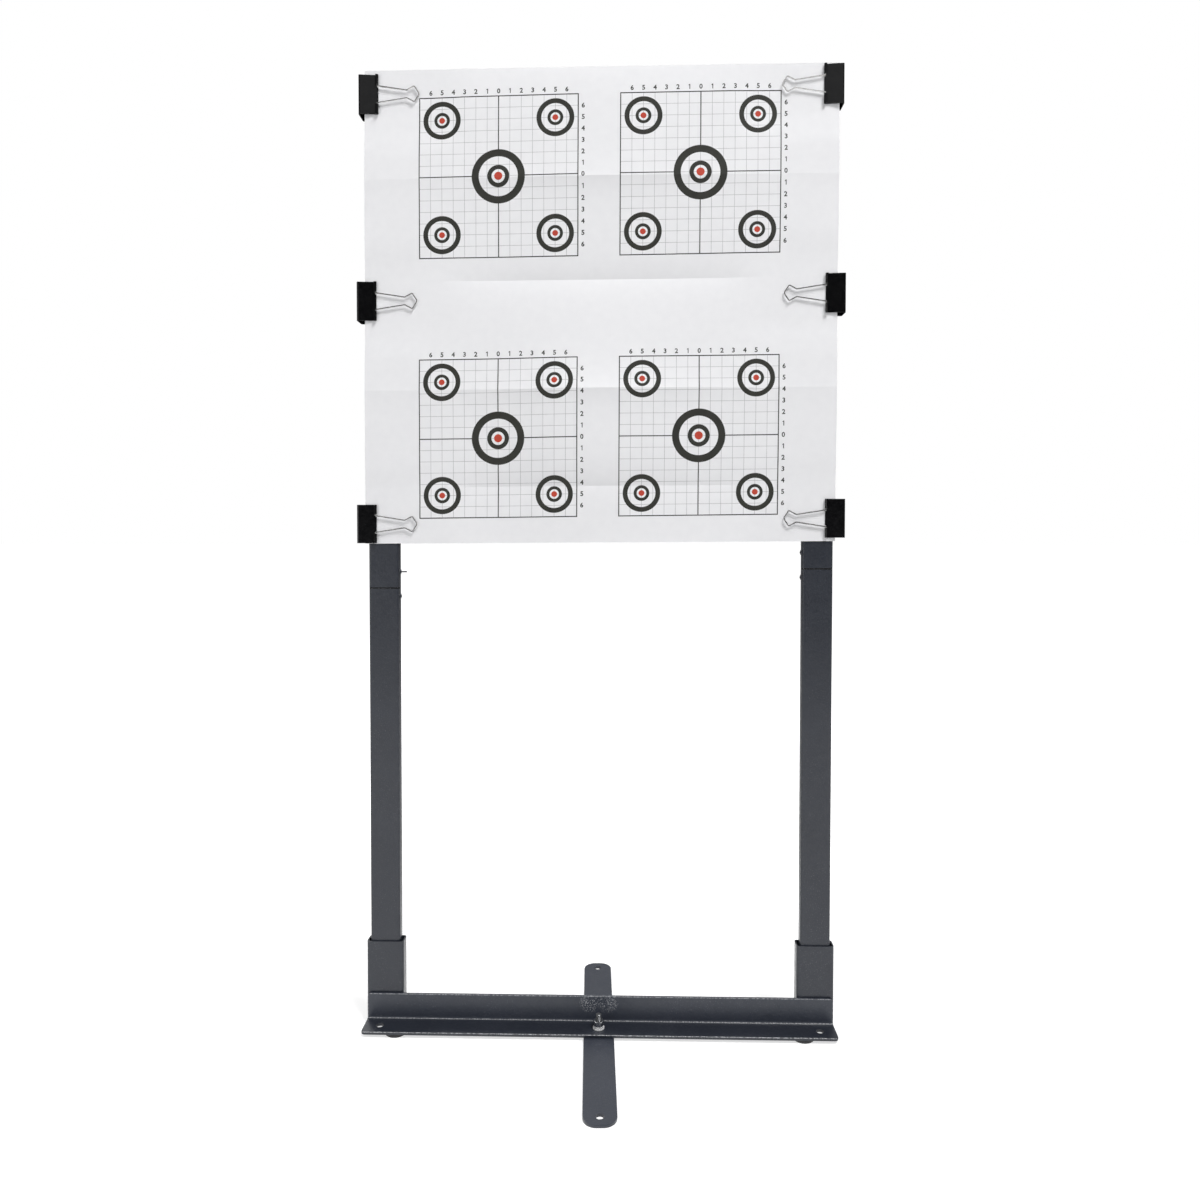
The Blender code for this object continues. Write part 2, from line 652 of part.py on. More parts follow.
def clip_shell_surface():
    """The folded shell's middle surface, as strips along Z between the notches of its jaws."""
    notch_side = HANDLE_LEG_SPACING / 2 - HANDLE_NOTCH / 2
    roll_side = HANDLE_LEG_SPACING / 2 + HANDLE_NOTCH / 2
    half = CLIP_LENGTH / 2
    lip_side = min(CLIP_LIP_WIDTH / 2, notch_side)
    levels = [-half, -roll_side, -lip_side, lip_side, roll_side, half]
    wall, slope = clip_wall()
    roll = clip_roll(slope)
    lip = [Vector((CLIP_DEPTH - CLIP_LIP_SETBACK, HINGE_OFFSET - ROLL_RADIUS))]
    bm = bmesh.new()
    made = {}

    def vert(point, z):
        key = (round(point[0], 7), round(point[1], 7), round(z, 7))
        if key not in made:
            made[key] = bm.verts.new((point[0], point[1], z))
        return made[key]

    def strip(line, low, high):
        for a, b in zip(line, line[1:]):
            bm.faces.new((vert(a, low), vert(b, low), vert(b, high), vert(a, high)))

    for side in (1, -1):
        flip = [(p[0], side * p[1]) for p in wall]
        for low, high in zip(levels, levels[1:]):
            strip(flip, low, high)
        edge = [(p[0], side * p[1]) for p in [wall[-1]] + roll]
        strip(edge, levels[0], levels[1])
        strip(edge, levels[4], levels[5])
        tip = [(p[0], side * p[1]) for p in [wall[-1]] + lip]
        strip(tip, levels[2], levels[3])
    bmesh.ops.recalc_face_normals(bm, faces=bm.faces)
    return bm


def handle_line():
    """The wire's centre line in the handle's plane: along the hinge, round the loop and back."""
    leg = HANDLE_LEG_SPACING / 2
    neck = HANDLE_NECK_SPACING / 2
    head = HANDLE_HEAD_WIDTH / 2
    end = CLIP_LENGTH / 2 - HANDLE_END_ROOM
    upper = [(0, end), (0, leg), (HANDLE_NECK_REACH, neck), (HANDLE_HEAD_REACH, head)]
    radii = [0, HANDLE_BEND_RADIUS, 2 * HANDLE_BEND_RADIUS, HANDLE_BEND_RADIUS]
    nose = (HANDLE_NOSE_REACH, 0)
    lower = [(x, -z) for x, z in reversed(upper)]
    line = [*upper, nose, *lower]
    return rounded(line, [*radii, HANDLE_NOSE_RADIUS, *reversed(radii)], WIRE_BEND_STEPS, closed=False)


def handle_curve():
    """The handle as one wire bent in the XZ plane, with its origin on the hinge axis."""
    curve = bpy.data.curves.new("wire_handle", "CURVE")
    curve.dimensions = "3D"
    curve.bevel_depth = WIRE_RADIUS
    curve.bevel_resolution = 1
    curve.use_fill_caps = True
    points = handle_line()
    spline = curve.splines.new("POLY")
    spline.points.add(len(points) - 1)
    for target, point in zip(spline.points, points):
        target.co = (point[0], 0, point[1], 1)
    return curve


def binder_clip(name, side, place, shell, wire, enamel, steel, carrier):
    """One clip on its own frame: the shell, and a handle hinged in each rolled edge."""
    frame = add(f"{name}_frame", None, parent=carrier, place=Vector(place) - carrier.location)
    if side > 0:
        frame.rotation_euler = (0, 0, pi)
    body = add(f"{name}_shell", shell, parent=frame)
    if not shell.materials:
        shell.materials.append(enamel)
    thicken(body, CLIP_STEEL)
    if not wire.materials:
        wire.materials.append(steel)
    for face, across in (("front", -1), ("back", 1)):
        offset = -side * across * HINGE_OFFSET
        add(f"{name}_{face}_handle", wire, parent=frame, place=(HINGE_REACH, offset, 0))


def binder_clips(carriers, enamel, steel):
    shell = mesh_of("clip_shell", clip_shell_surface())
    wire = handle_curve()
    for row, (share, past_post) in CLIP_ROWS.items():
        for side_name, side in (("left", -1), ("right", 1)):
            height = SHEET_BOTTOM + share * SHEET_HEIGHT + side * CLIP_ROW_SLANT / 2
            place = (side * (POST_OUTER_EDGE + past_post), CLIP_Y, height)
            name = f"{row}_{side_name}_clip"
            binder_clip(name, side, place, shell, wire, enamel, steel, carriers[side_name])


def build():
    clear_scene()
    paint = material("grey_powder_coat", (0.060, 0.064, 0.076), 0.42, 0.2)
    zinc = material("bright_zinc", (0.62, 0.63, 0.65), 0.25, 1.0)
    rubber = material("black_rubber", (0.018, 0.018, 0.019), 0.7, 0.0)
    paper = material("white_paper", (0.80, 0.80, 0.81), 0.75, 0.0)
    enamel = material("black_enamel", (0.008, 0.008, 0.009), 0.22, 0.0)
    steel = material("bright_wire", (0.70, 0.70, 0.71), 0.18, 1.0)
    crossbar(paint)
    foot_bar(paint)
    pivot_fasteners(zinc)
    carriers = {}
    for side_name, side, seam, stub in (
        ("left", -1, LEFT_SEAM_HEIGHT, MANDREL_STUB),
        ("right", 1, RIGHT_SEAM_HEIGHT, GAP),
    ):
        rubber_pad(side_name, side, rubber)
        socket(side_name, side, paint)
        carriers[side_name] = post(side_name, side, seam, stub, paint, zinc)
    target_sheet(paper, carriers["left"])
    binder_clips(carriers, enamel, steel)
    even_shading()


build()
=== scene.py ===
"""The target stand as it looks: its finishes, screw thread, printed sheet, studio and camera.

Metres, +Z up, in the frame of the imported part: the sheet faces -Y and the floor is at
zero height. Colours are linear.
"""

from collections import Counter
from math import cos, exp, pi, radians, sin

import bpy
from mathutils import Euler, Matrix, Vector
from mathutils.geometry import delaunay_2d_cdt

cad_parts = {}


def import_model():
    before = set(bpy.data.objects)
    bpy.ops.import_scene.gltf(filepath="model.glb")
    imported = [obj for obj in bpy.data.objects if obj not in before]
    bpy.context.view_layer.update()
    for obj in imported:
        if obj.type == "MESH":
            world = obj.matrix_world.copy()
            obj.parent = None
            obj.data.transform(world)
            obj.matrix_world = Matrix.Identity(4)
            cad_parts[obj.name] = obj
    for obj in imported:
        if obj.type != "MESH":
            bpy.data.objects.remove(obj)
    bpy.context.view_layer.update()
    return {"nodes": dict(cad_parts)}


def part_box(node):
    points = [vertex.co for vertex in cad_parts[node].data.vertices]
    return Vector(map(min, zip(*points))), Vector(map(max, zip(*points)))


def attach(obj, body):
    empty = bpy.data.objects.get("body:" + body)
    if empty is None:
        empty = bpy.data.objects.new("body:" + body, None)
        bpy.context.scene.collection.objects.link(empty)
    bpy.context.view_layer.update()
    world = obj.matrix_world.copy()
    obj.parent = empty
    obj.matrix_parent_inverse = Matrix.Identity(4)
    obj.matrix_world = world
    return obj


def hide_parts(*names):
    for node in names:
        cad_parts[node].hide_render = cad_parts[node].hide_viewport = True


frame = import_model()

# Powder coat: its colour and a paler copy that is painted light, each as the two that it wanders
# between, the height over which it turns paler, its specks, painted glints, and shade in a seam
COAT = (0.0165, 0.0195, 0.0280), (0.0215, 0.0250, 0.0345)
PAINTED_LIGHT_COAT = (0.0285, 0.0335, 0.0465), (0.0345, 0.0395, 0.0540)
PAINTED_LIGHT_BLEND = 0.001
COAT_SPECK = (0.16, 0.165, 0.18)
PAINTED_GLINT_COLOUR = (0.62, 0.63, 0.65)
PATCH_GLINT_COLOUR = (0.32, 0.33, 0.35)
SEAM_SHADE = (0.002, 0.002, 0.0025)
SEAM_REACH = 0.0011

# Crossbar's angle: its steel's thickness, how far above the low flange the upright one turns
# paler as painted light, and the patches of painted glints on that beside the screw
FLANGE_THICKNESS = 0.003
PAINTED_LIGHT_ABOVE_FLANGE = 0.0005
GLINT_PATCH_X = 0.010
GLINT_PATCH_DROP = 0.007
GLINT_PATCH_REACH = 0.012

# Its edges' painted glints: how far each reaches from its edge, and how strong it is
BEND_GLINT = (0.0012, 0.95)
TOE_GLINT = (0.0010, 0.85)
TOP_GLINT = (0.0009, 0.45)
END_GLINT = (0.0012, 0.45)

# The directions that count across an edge along X, an upright edge and a level seam
ACROSS_X = Vector((0, 1, 1))
ACROSS_UPRIGHT = Vector((1, 1, 0))
ACROSS_LEVEL = Vector((0, 0, 1))

# Countersunk screw through the foot bar: its thread, the angle up to which it looks smooth, its
# socket and its tip
SCREW_RADIUS = 0.003
THREAD_PITCH = 0.001
THREAD_DEPTH = 0.0005
THREAD_RUNOUT = 0.0015
ROWS_PER_TURN = 8
SCREW_STEPS = 36
SMOOTH_BELOW = radians(35)
SOCKET_ACROSS = 0.004
SOCKET_DEPTH = 0.0016
TIP_CHAMFER = 0.0007

# Camera: where it stands, how it is turned, its lens and sensor in millimetres, and how far
# its picture is shifted, as a share of the picture's width
CAMERA_PLACE = (0.0229, -0.9369, 0.5337)
CAMERA_PITCH = -0.02456
CAMERA_YAW = 0.02343
CAMERA_ROLL = 0.00099
CAMERA_LENS = 26.91
CAMERA_SENSOR = 36
CAMERA_SHIFT = -0.04

# Sheet: its fold lines as shares of its height, how far it bends forward or back at each and,
# over the posts, how sharp the folds are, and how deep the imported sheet's own folds are
FOLD_SHARES = (0.12, 0.325, 0.557, 0.77)
FOLD_DEPTHS = (0.0038, 0.0055, 0.0038, 0.0049)
MARGIN_DEPTH = 0.0014
CREASE_SHARE = 0.85
CREASE_REACH = 0.018
PACKED_FOLD_DEPTH = 0.003

# How quickly its folds flatten towards the posts
FLATTENING = 1.5

# How crooked it hangs: its lean to the right per metre up, and its climb per metre across
SHEET_LEAN = 0.0033
SHEET_CLIMB = 0.0067

# The soft upright fold near its middle: where it starts, stands out most and ends, how far it
# stands out all the way up, and the more that it does over a stretch of the lower half
UPRIGHT_FOLD = (-0.135, -0.030, 0.220)
UPRIGHT_FOLD_DEPTH = 0.0010
UPRIGHT_BULGE_DEPTH = 0.0078
UPRIGHT_BULGE_HEIGHT = 0.085
UPRIGHT_BULGE_REACH = 0.12

# Where the clips press it flat: from this far across, and this near each clip's middle
PRESSED_ACROSS = (0.130, 0.185)
PRESSED_UP = (0.027, 0.065)

# How finely it is divided besides along its print, how far apart its slopes are taken, and how
# near two points are one
LATTICE_COLUMNS = 48
ROWS_PER_FOLD = 12
SLOPE_STEP = 0.0005
SAME_PLACE = 1e-6

# Print: square grids of cells, each with a large bullseye and one near each corner
GRID_ACROSS = (-0.1074, 0.1051)
GRID_HEIGHTS = (0.1118, 0.3872)
GRID_CENTRES = [Vector((x, height)) for x in GRID_ACROSS for height in GRID_HEIGHTS]
PRINT_CLIMB = 0.0055
CELL = 0.012
CELLS_EACH_WAY = 7
BORDER_WIDTH = 0.0011
AXIS_WIDTH = 0.0011
FINE_WIDTH = 0.0004
CORNER_TARGET_CELLS = 5
LARGE_RINGS = (0.0282, 0.0207, 0.0117, 0.0071, 0.0043)
SMALL_RINGS = (0.0199, 0.0148, 0.0083, 0.0051, 0.00305)
RING_STEPS = 72
PAPER, INK, FINE_INK, RED_INK = range(4)

# Numbers beside the grids. The 1 is plain and upright without a foot, in shares of its height
LAST_NUMBER = 6
NUMBER_HEIGHT = 0.0052
NUMBER_WEIGHT = 0.03
NUMBER_SETBACK = 0.0053
NUMBER_CURVE_STEPS = 4
ONE = ((-0.02, -0.5), (0.15, -0.5), (0.15, 0.5), (0.02, 0.5), (-0.2, 0.36), (-0.2, 0.2), (-0.02, 0.27))

# Floor's reach and colour, and the even light of the room
FLOOR_REACH = 30
FLOOR_COLOUR = (0.60, 0.60, 0.60)
ROOM_LIGHT = 0.20


def placed(name, data):
    """A new object in the scene."""
    made = bpy.data.objects.new(name, data)
    bpy.context.scene.collection.objects.link(made)
    return made


def ramp(value, low, high):
    """Rises smoothly from 0 at low to 1 at high."""
    share = min(max((value - low) / (high - low), 0), 1)
    return share * share * (3 - 2 * share)


def full_turn(steps):
    """The angles of a full turn in even steps."""
    return [2 * pi * i / steps for i in range(steps)]


# Shader nodes


class Nodes:
    """A node tree that short calls add to. A value is a number, a colour or a node's output."""

    def __init__(self, tree):
        self.tree = tree

    def put(self, socket, value):
        if isinstance(value, bpy.types.NodeSocket):
            self.tree.links.new(value, socket)
        else:
            socket.default_value = value

    def node(self, kind, inputs=(), **settings):
        made = self.tree.nodes.new(kind)
        for key, value in settings.items():
            setattr(made, key, value)
        for key, value in dict(inputs).items():
            self.put(made.inputs[key], value)
        return made

    def math(self, operation, first, second):
        made = self.node("ShaderNodeMath", {0: first, 1: second}, operation=operation)
        return made.outputs["Value"]

    def vector_math(self, operation, *vectors):
        inputs = dict(enumerate(vectors))
        return self.node("ShaderNodeVectorMath", inputs, operation=operation).outputs

    def part(self, vector, axis):
        return self.node("ShaderNodeSeparateXYZ", {"Vector": vector}).outputs[axis]

    def spread(self, value, low, high, start=0.3, end=0.7, **settings):
        """From low to high while the value goes from start to end."""
        inputs = {"Value": value, "From Min": start, "From Max": end, "To Min": low, "To Max": high}
        return self.node("ShaderNodeMapRange", inputs, **settings).outputs["Result"]


class Finish(Nodes):
    """A material's nodes. Places are in the object's own metres."""

    def __init__(self, name):
        self.material = bpy.data.materials.new(name)
        self.material.use_nodes = True
        super().__init__(self.material.node_tree)
        self.surface = self.tree.nodes["Principled BSDF"]
        self.place = self.node("ShaderNodeTexCoord").outputs["Object"]

    def noise(self, size, detail=2, place=None):
        """A value from 0 to 1 that varies over about the given size."""
        inputs = {"Vector": place or self.place, "Scale": 1 / size, "Detail": detail}
        return self.node("ShaderNodeTexNoise", inputs).outputs["Fac"]

    def varied(self, size, low=0, high=1, detail=2):
        """Noise whose middle part is stretched to run from low to high."""
        return self.spread(self.noise(size, detail), low, high)

    def stretched(self, scale):
        """The place scaled along its axes, which stretches a noise where the scale is small."""
        return self.node("ShaderNodeMapping", {"Vector": self.place, "Scale": scale}).outputs["Vector"]

    def mixed(self, share, first, second):
        """A colour that goes from the first to the second as the share goes from 0 to 1."""
        made = self.node("ShaderNodeMix", {"Factor": share}, data_type="RGBA")
        sockets = [socket for socket in made.inputs if socket.type == "RGBA"]
        for socket, colour in zip(sockets, (first, second)):
            self.put(socket, colour if isinstance(colour, bpy.types.NodeSocket) else (*colour, 1))
        return next(socket for socket in made.outputs if socket.type == "RGBA")

    def falloff(self, distance, reach, strength):
        """The strength up to half the reach from something, fading to 0 at the reach."""
        return self.spread(distance, strength, 0, start=reach / 2, end=reach)

    def near_point(self, point, reach):
        distance = self.vector_math("DISTANCE", self.place, point)["Value"]
        return self.falloff(distance, reach, 1)

    def near_line(self, point, across, reach, strength):
        """Near a line, or a level, through the point: only the directions across it count."""
        flat = self.vector_math("MULTIPLY", self.place, across)["Vector"]
        distance = self.vector_math("DISTANCE", flat, point * across)["Value"]
        return self.falloff(distance, reach, strength)

    def bump(self, height, strength, depth):
        inputs = {"Height": height, "Strength": strength, "Distance": depth}
        return self.node("ShaderNodeBump", inputs).outputs["Normal"]

    def dress(self, **values):
        """Sets the shader's inputs, named with underscores for spaces."""
        for key, value in values.items():
            if isinstance(value, tuple):
                value = (*value, 1)
            self.put(self.surface.inputs[key.replace("_", " ").title().replace("Ior", "IOR")], value)
        return self.material


# Finishes


def powder_coat(name="grey_powder_coat", painted_light_above=None, edges=(), glint_patches=(), seam=None):
    """Dark grey hammered coat: paler painted light above a height, painted glints, shade in a seam."""
    finish = Finish(name)
    patches = finish.varied(0.045, detail=3)
    colour = finish.mixed(patches, *COAT)
    # Painted light: above this height the coat turns to its paler copy, as if lit more
    if painted_light_above is not None:
        height = finish.part(finish.place, "Z")
        share = finish.spread(height, 0, 1, start=painted_light_above, end=painted_light_above + PAINTED_LIGHT_BLEND)
        colour = finish.mixed(share, colour, finish.mixed(patches, *PAINTED_LIGHT_COAT))
    grain = finish.noise(0.0011)
    often = finish.varied(0.05, 0.05, 0.35, detail=1)
    specks = finish.math("MULTIPLY", finish.spread(grain, 0, 1, start=0.60, end=0.72), often)
    colour = finish.mixed(specks, colour, COAT_SPECK)
    colour = worn(finish, colour, edges, glint_patches)
    roughness = finish.varied(0.006, 0.28, 0.40)
    if seam is not None:
        shaded = finish.near_line(Vector((0, 0, seam)), ACROSS_LEVEL, SEAM_REACH, 1)
        colour = finish.mixed(shaded, colour, SEAM_SHADE)
        roughness = finish.math("ADD", roughness, shaded)
    relief = finish.math("ADD", grain, finish.noise(0.0032, detail=1))
    return finish.dress(
        base_color=colour,
        roughness=roughness,
        specular_ior_level=0.45,
        normal=finish.bump(relief, strength=0.30, depth=0.00035),
    )


def worn(finish, colour, edges, glint_patches):
    """The colour with painted glints in broken lines along the edges and in dots in the patches."""
    broken = finish.spread(finish.noise(0.0014, detail=3), 0.20, 1, start=0.44, end=0.58)
    # Painted glints: pale steel colour in broken lines along each edge
    for point, across, reach, strength in edges:
        glint = finish.math("MULTIPLY", broken, finish.near_line(point, across, reach, strength))
        colour = finish.mixed(glint, colour, PAINTED_GLINT_COLOUR)
    dots = finish.spread(finish.noise(0.0012), 0, 1, start=0.53, end=0.61)
    # Painted glints: pale speckled dots in each patch
    for point, reach in glint_patches:
        glint = finish.math("MULTIPLY", dots, finish.near_point(point, reach))
        colour = finish.mixed(glint, colour, PATCH_GLINT_COLOUR)
    return colour


def crossbar_coat():
    """The same coat, with painted glints along the angle's bend, toes, top and ends and beside its
    screw.
    """
    low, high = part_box("angle_crossbar")
    front = high.y - FLANGE_THICKNESS
    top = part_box("flat_washer")[0].z
    # Painted glints along the bend, the low flange's toe, the upright's top edge and its ends
    edges = [
        (Vector((0, front, top)), ACROSS_X, *BEND_GLINT),
        (Vector((0, low.y, top)), ACROSS_X, *TOE_GLINT),
        (Vector((0, front, high.z)), ACROSS_X, *TOP_GLINT),
        (Vector((low.x, front, 0)), ACROSS_UPRIGHT, *END_GLINT),
        (Vector((high.x, front, 0)), ACROSS_UPRIGHT, *END_GLINT),
    ]
    # Patches of painted glints on the upright flange beside the screw
    glint_patches = [(Vector((x, front, high.z - GLINT_PATCH_DROP)), GLINT_PATCH_REACH) for x in (-GLINT_PATCH_X, GLINT_PATCH_X)]
    # Painted light: the upright flange is paler than the low flange of the same angle
    return powder_coat("painted_glint_powder_coat", top + PAINTED_LIGHT_ABOVE_FLANGE, edges, glint_patches)


def zinc(name, patches, colours, metallic, roughness, marks=0.0004):
    """Zinc plate with patches of two colours and fine tool marks, each of about a size."""
    finish = Finish(name)
    return finish.dress(
        base_color=finish.mixed(finish.varied(patches, detail=3), *colours),
        metallic=metallic,
        roughness=finish.varied(0.0012, *roughness),
        normal=finish.bump(finish.noise(marks), strength=0.15, depth=0.0001),
    )


def bright_zinc():
    """The nut's plate, with a little haze."""
    colours = (0.52, 0.53, 0.56), (0.66, 0.66, 0.66)
    return zinc("bright_zinc", 0.004, colours, metallic=1.0, roughness=(0.16, 0.32))


def satin_zinc():
    """The washers' whiter plate, which scatters light from above."""
    colours = (0.80, 0.80, 0.82), (0.88, 0.88, 0.88)
    return zinc("satin_zinc", 0.002, colours, metallic=0.35, roughness=(0.24, 0.38), marks=0.0005)


def dull_zinc():
    """The screw's darker plate."""
    colours = (0.10, 0.104, 0.112), (0.20, 0.205, 0.21)
    return zinc("dull_zinc", 0.0015, colours, metallic=0.9, roughness=(0.34, 0.48))


def black_rubber():
    """The pads' matt rubber, a little dusty."""
    finish = Finish("black_rubber")
    dust = finish.varied(0.005, detail=4)
    return finish.dress(
        base_color=finish.mixed(dust, (0.014, 0.014, 0.015), (0.030, 0.030, 0.031)),
        roughness=finish.varied(0.002, 0.62, 0.82),
        normal=finish.bump(finish.noise(0.0006), strength=0.4, depth=0.0002),
    )


def black_enamel():
    """The clips' baked black enamel, glossy with faint ripples."""
    finish = Finish("black_enamel")
    ripples = finish.noise(0.0045, detail=1)
    shade = finish.spread(ripples, 0, 1)
    return finish.dress(
        base_color=finish.mixed(shade, (0.0025, 0.0025, 0.003), (0.005, 0.005, 0.0055)),
        roughness=finish.varied(0.0015, 0.12, 0.22, detail=3),
        specular_ior_level=0.33,
        normal=finish.bump(ripples, strength=0.2, depth=0.0003),
    )


def bright_wire():
    """Nickel-plated spring wire, drawn lengthwise."""
    finish = Finish("bright_wire")
    tint = finish.varied(0.003)
    drawn = finish.noise(0.0005, place=finish.stretched((0.08, 1, 1)))
    return finish.dress(
        base_color=finish.mixed(tint, (0.62, 0.62, 0.62), (0.74, 0.73, 0.71)),
        metallic=1.0,
        roughness=finish.spread(drawn, 0.12, 0.28),
        normal=finish.bump(drawn, strength=0.1, depth=0.0001),
    )


def paper(name, light, dark, roughness):
    """Smooth uncoated paper or ink on it: mottled, with short fibres in its relief."""
    finish = Finish(name)
    mottle = finish.varied(0.009, detail=4)
    fibres = finish.noise(0.0025, place=finish.stretched((0.35, 1, 1)))
    relief = finish.math("ADD", finish.noise(0.0006, detail=3), fibres)
    return finish.dress(
        base_color=finish.mixed(mottle, light, dark),
        roughness=finish.varied(0.0012, *roughness),
        specular_ior_level=0.2,
        normal=finish.bump(relief, strength=0.10, depth=0.0002),
    )


def paper_finishes():
    """In the order of PAPER, INK, FINE_INK and RED_INK."""
    return [
        paper("white_paper", (0.815, 0.815, 0.83), (0.795, 0.795, 0.812), (0.75, 0.85)),
        paper("black_ink", (0.036, 0.036, 0.031), (0.028, 0.028, 0.024), (0.55, 0.65)),
        paper("fine_line_ink", (0.42, 0.42, 0.43), (0.36, 0.36, 0.37), (0.65, 0.75)),
        paper("red_ink", (0.52, 0.068, 0.040), (0.46, 0.055, 0.034), (0.55, 0.65)),
    ]


def dress_nodes():
    """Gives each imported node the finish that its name's last words call for."""
    coat = powder_coat()
    left_post_coat = powder_coat("left_post_coat", seam=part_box("left_upper_post")[0].z)
    right_post_coat = powder_coat("right_post_coat", seam=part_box("right_upper_post")[0].z)
    nut_zinc = bright_zinc()
    finishes = {
        "crossbar": crossbar_coat(),
        # Painted sheen: the whole foot bar takes the paler copy of the coat
        "foot_bar": powder_coat("painted_sheen_powder_coat", painted_light_above=0),
        "socket": coat,
        "socket_plate": coat,
        "left_lower_post": left_post_coat,
        "left_upper_post": left_post_coat,
        "right_lower_post": right_post_coat,
        "right_upper_post": right_post_coat,
        "washer": satin_zinc(),
        "nut": nut_zinc,
        "connector": nut_zinc,
        "rivet": coat,
        "rubber_pad": black_rubber(),
        "clip_shell": black_enamel(),
        "handle": bright_wire(),
    }
    for name, node in frame["nodes"].items():
        for ending, finish in finishes.items():
            if name.endswith(ending):
                for slot in node.material_slots:
                    slot.material = finish


# Screw


def hexagon_radius(across, angle):
    """How far a hexagon's edge is from its middle in this direction."""
    turn = pi / 3
    return across / 2 / cos((angle + turn / 2) % turn - turn / 2)


def thread_radius(height, angle, start, end):
    """The screw's radius along its thread, which runs out smoothly at both ends."""
    turns = (height - start) / THREAD_PITCH - angle / (2 * pi)
    groove = 1 - abs(2 * (turns % 1) - 1)
    full = ramp(height, start, start + THREAD_RUNOUT) * (1 - ramp(height, end - THREAD_RUNOUT, end))
    return SCREW_RADIUS - THREAD_DEPTH * groove * full


def screw_rings(low, high, angles):
    """(height, radii) from the socket's floor out round the head and up the thread to the tip."""
    head = high.x
    neck = low.z + head - SCREW_RADIUS
    end = high.z - TIP_CHAMFER
    socket = [hexagon_radius(SOCKET_ACROSS, angle) for angle in angles]
    yield low.z + SOCKET_DEPTH, socket
    yield low.z, socket
    yield low.z, [head] * SCREW_STEPS
    rows = round((end - neck) / THREAD_PITCH * ROWS_PER_TURN)
    for row in range(rows + 1):
        height = neck + (end - neck) * row / rows
        yield height, [thread_radius(height, angle, neck, end) for angle in angles]
    yield high.z, [SCREW_RADIUS - TIP_CHAMFER] * SCREW_STEPS


def threaded_screw():
    """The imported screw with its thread, closed by the socket's floor and the tip's end."""
    angles = full_turn(SCREW_STEPS)
    points = []
    for height, radii in screw_rings(*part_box("pivot_bolt"), angles):
        for radius, angle in zip(radii, angles):
            points.append((radius * cos(angle), radius * sin(angle), height))
    last = len(points) - SCREW_STEPS
    faces = [list(range(SCREW_STEPS))[::-1], [last + i for i in range(SCREW_STEPS)]]
    for first in range(0, last, SCREW_STEPS):
        for i in range(SCREW_STEPS):
            a, b = first + i, first + (i + 1) % SCREW_STEPS
            faces.append([a, b, b + SCREW_STEPS, a + SCREW_STEPS])
    mesh = bpy.data.meshes.new("threaded_screw")
    mesh.from_pydata(points, [], faces)
    mesh.materials.append(dull_zinc())
    mesh.shade_smooth()
    mesh.set_sharp_from_angle(angle=SMOOTH_BELOW)
    made = placed("threaded_screw", mesh)
    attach(made, "base")
    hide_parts("pivot_bolt")


# Sheet's form


def creased(share, span):
    """From 0 to 1 over a band between two folds, quickly by the folds and slowly between."""
    reach = CREASE_REACH / span
    near = exp(-share / reach)
    far = exp(-(1 - share) / reach)
    edge = exp(-1 / reach)
    return (1 - CREASE_SHARE) * share + CREASE_SHARE * (1 - near + far - edge) / (2 * (1 - edge))


